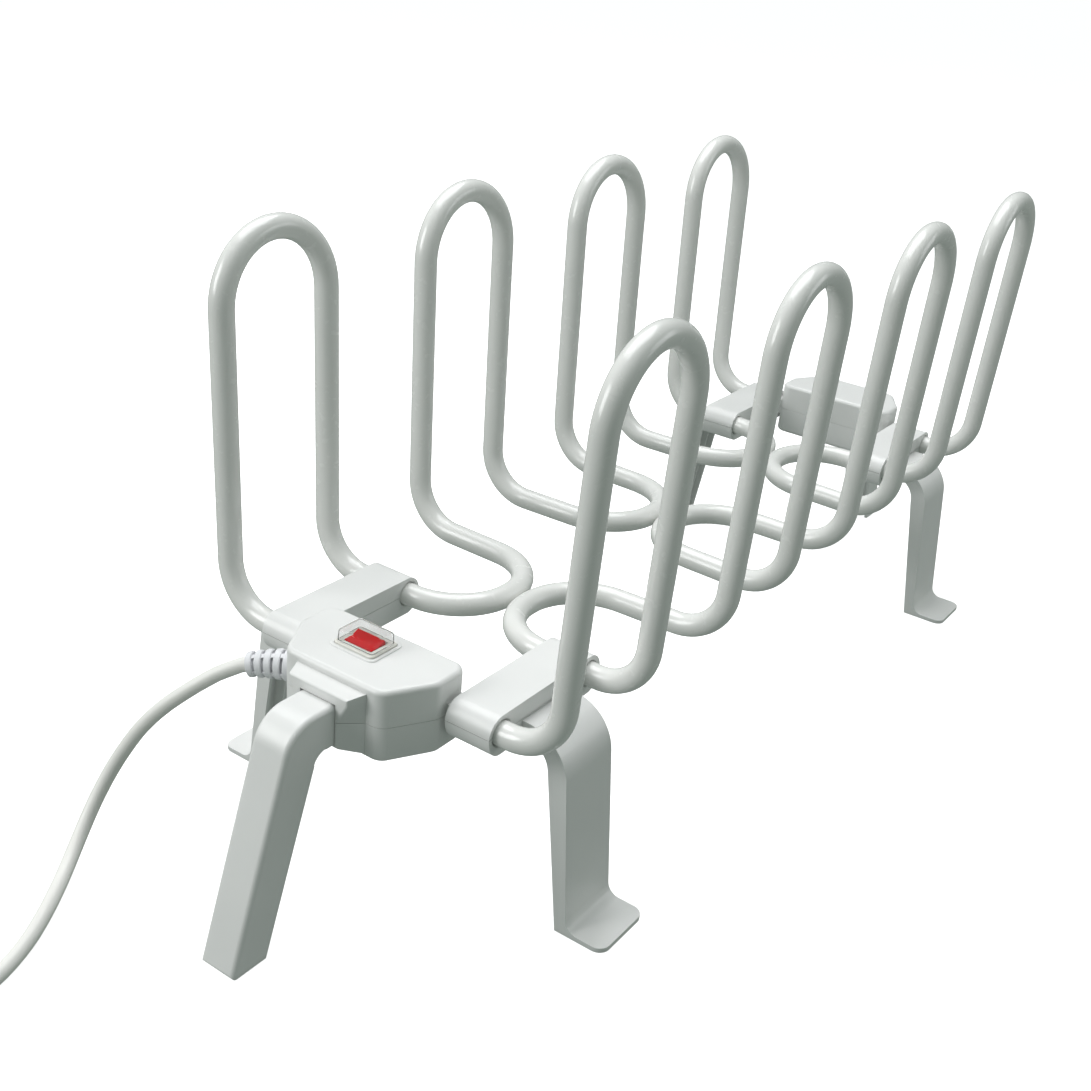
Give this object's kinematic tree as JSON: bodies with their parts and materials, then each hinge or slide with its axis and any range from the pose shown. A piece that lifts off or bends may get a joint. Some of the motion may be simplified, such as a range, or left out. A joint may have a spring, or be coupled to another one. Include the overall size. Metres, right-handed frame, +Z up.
{
  "type": "boot dryer",
  "caption": "Floor-standing electric dryer: two rows of heated tube loops on six moulded legs, with a switched control box and a mains cord.",
  "frame": {"origin": "on the ground, under the centre of the object without its cord", "axes": "+X to the right-hand row of loops, +Y from the control box to the rear, +Z up; X = 0 is the plane between the two rows"},
  "size_m": [0.4224, 1.1605, 0.387],
  "materials": {
    "white_enamel": "glossy white powder coat",
    "white_plastic": "glossy white moulding",
    "cream_plastic": "satin cream moulding",
    "red_lens": "clear red moulding",
    "clear_plastic": "clear flexible moulding",
    "white_pvc": "satin white PVC",
    "wire_insulation": "satin PVC",
    "silicone": "matt silicone rubber",
    "grey_nylon": "matt moulding",
    "brass": "bright",
    "zinc_steel": "bright zinc"
  },
  "bodies": {
    "root": {"cord_clamp": "white_plastic", "cord_clamp_screw_1": "zinc_steel", "cord_clamp_screw_2": "zinc_steel", "cord_strain_relief": "white_pvc", "earth_wire": "wire_insulation", "front_centre_leg": "white_plastic", "front_centre_leg_screw": "zinc_steel", "front_left_leg_screw": "zinc_steel", "front_left_side_leg": "white_plastic", "front_lower_shell": "white_plastic", "front_right_leg_screw": "zinc_steel", "front_right_side_leg": "white_plastic", "front_shell_screw_1": "zinc_steel", "front_shell_screw_2": "zinc_steel", "front_shell_screw_3": "zinc_steel", "front_shell_screw_4": "zinc_steel", "front_upper_shell": "white_plastic", "heater_lead": "wire_insulation", "inner_cord_end": "white_pvc", "left_heating_cable": "silicone", "left_heating_tube": "white_enamel", "line_wire": "wire_insulation", "neutral_wire": "wire_insulation", "plug_pin_1": "brass", "plug_pin_2": "brass", "power_cord": "white_pvc", "power_cord_coil": "white_pvc", "power_plug": "white_pvc", "rear_centre_leg": "white_plastic", "rear_centre_leg_screw": "zinc_steel", "rear_connector_block": "grey_nylon", "rear_left_leg_screw": "zinc_steel", "rear_left_side_leg": "white_plastic", "rear_lower_shell": "white_plastic", "rear_right_leg_screw": "zinc_steel", "rear_right_side_leg": "white_plastic", "rear_shell_screw_1": "zinc_steel", "rear_shell_screw_2": "zinc_steel", "rear_shell_screw_3": "zinc_steel", "rear_shell_screw_4": "zinc_steel", "rear_upper_shell": "white_plastic", "right_heating_cable": "silicone", "right_heating_tube": "white_enamel", "switch_body": "cream_plastic", "switch_splash_cover": "clear_plastic", "switch_tab_1": "brass", "switch_tab_2": "brass", "switch_tab_3": "brass", "switch_tab_4": "brass", "terminal_block": "grey_nylon", "thermal_cutout": "zinc_steel"},
    "rocker": {"switch_rocker": "red_lens"}
  },
  "joints": [
    {"name": "rocker_tilt", "type": "hinge", "parent": "root", "child": "rocker", "pos_m": [-0.0055, -0.3403, 0.16], "axis": [1, 0, 0], "range_deg": [-22, 0]}
  ]
}
